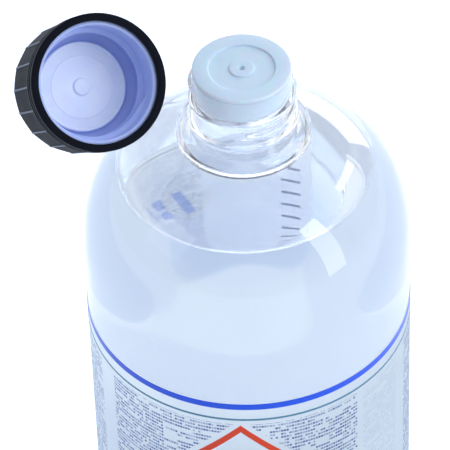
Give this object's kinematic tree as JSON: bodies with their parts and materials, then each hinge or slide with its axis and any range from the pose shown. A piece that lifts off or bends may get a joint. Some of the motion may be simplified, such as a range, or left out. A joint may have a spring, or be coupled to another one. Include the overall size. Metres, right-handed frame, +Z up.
{
  "type": "isopropyl alcohol bottle",
  "caption": "Clear round plastic bottle of liquid with a threaded neck, a pressed-in pour insert and a white wrap label, and its black push-and-turn cap taken off beside the neck.",
  "frame": {"origin": "centre of the foot, on the bottle's axis, at the level of the surface it stands on", "axes": "+Z up along the bottle's axis; -Y is the side that faces the viewer; +X to the viewer's right"},
  "size_m": [0.0987, 0.085, 0.2515],
  "materials": {
    "clear_pet": "clear blown PET, glossy",
    "natural_ldpe": "natural moulded LDPE, translucent satin",
    "alcohol": "clear liquid",
    "label_film": "white PP film with fine grey print, satin",
    "blue_ink": "printed ink",
    "teal_ink": "printed ink",
    "red_ink": "printed ink",
    "scale_ink": "printed ink",
    "natural_pp": "natural moulded PP, satin",
    "black_pp": "black moulded PP, semi-gloss"
  },
  "bodies": {
    "root": {"bottle": "clear_pet", "pour_insert": "natural_ldpe", "liquid": "alcohol", "label": "label_film", "label_blue_line": "blue_ink", "label_teal_line": "teal_ink", "label_red_frame": "red_ink", "label_scale": "scale_ink"},
    "inner_cap": {"inner_cap": "natural_pp"},
    "outer_shell": {"outer_shell": "black_pp"}
  },
  "joints": [
    {"name": "cap_turn", "type": "hinge", "parent": "root", "child": "inner_cap", "pos_m": [-0.03756, -0.01435, 0.23295], "axis": [0.3015, -0.6584, 0.6896], "continuous": true},
    {"name": "shell_press", "type": "slide", "parent": "inner_cap", "child": "outer_shell", "axis": [0.3015, -0.6584, 0.6896], "range_m": [0, 0.0012]}
  ]
}
